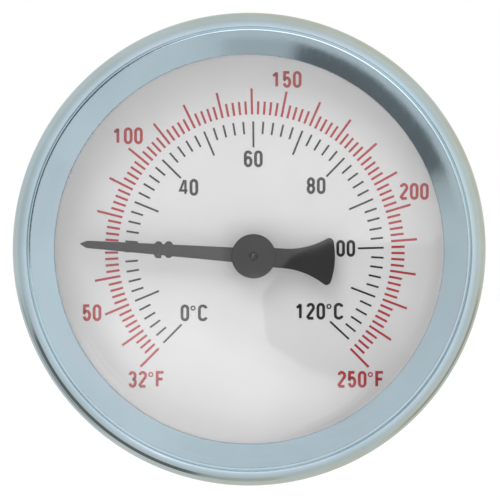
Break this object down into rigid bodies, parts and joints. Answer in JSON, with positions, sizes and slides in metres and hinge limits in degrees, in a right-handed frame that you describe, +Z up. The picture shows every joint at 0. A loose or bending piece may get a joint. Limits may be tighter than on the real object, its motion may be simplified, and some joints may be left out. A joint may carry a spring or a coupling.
{
  "type": "dial thermometer",
  "caption": "Round back-entry dial thermometer, bimetal movement, domed window and plain rear stem; scale in degrees Celsius and Fahrenheit",
  "frame": {"origin": "on the stem's axis, in the neck's shoulder face that seats on the pocket", "axes": "+Y along the stem away from the dial, +Z up, the dial faces -Y and +X is its right"},
  "size_m": [0.063, 0.0666, 0.063],
  "materials": {
    "bezel": "bright zinc plate, faint blue passivation",
    "case": "zinc plate, satin, faint blue passivation",
    "window": "clear, polished",
    "gasket": "matt black",
    "spacer": "satin off-white",
    "dial": "satin white enamel",
    "neck": "turned",
    "washer": "vulcanised fibre, red-brown",
    "lock_washer": "spring steel",
    "nut": "machined",
    "stem": "drawn, satin",
    "tip": "turned",
    "anchor": "turned",
    "bush": "bronze, reamed",
    "bimetal": "rolled strip",
    "collet": "turned",
    "spindle": "ground stainless steel",
    "thrust_washer": "white fluoroplastic",
    "clip": "phosphated spring steel",
    "pointer": "satin black lacquer",
    "boss": "turned"
  },
  "bodies": {
    "root": {"bezel_ring": "bezel", "case_shell": "case", "window": "window", "window_gasket": "gasket", "spacer_ring": "spacer", "dial_plate": "dial", "neck": "neck", "neck_washer": "washer", "lock_washer": "lock_washer", "lock_nut": "nut", "stem_tube": "stem", "stem_tip": "tip", "helix_anchor": "anchor", "lower_bush": "bush", "bimetal_helix": "bimetal", "guide_bush": "bush"},
    "pointer": {"spindle": "spindle", "helix_collet": "collet", "pointer": "pointer", "pointer_boss": "boss", "thrust_washer": "thrust_washer", "spindle_clip": "clip"}
  },
  "joints": [
    {"name": "pointer_sweep", "type": "hinge", "parent": "root", "child": "pointer", "pos_m": [0, 0, 0], "axis": [0, 1, 0], "range_deg": [-49.43, 218.97], "stiffness_Nm_per_rad": 0.003, "deforming": ["bimetal_helix"]}
  ]
}
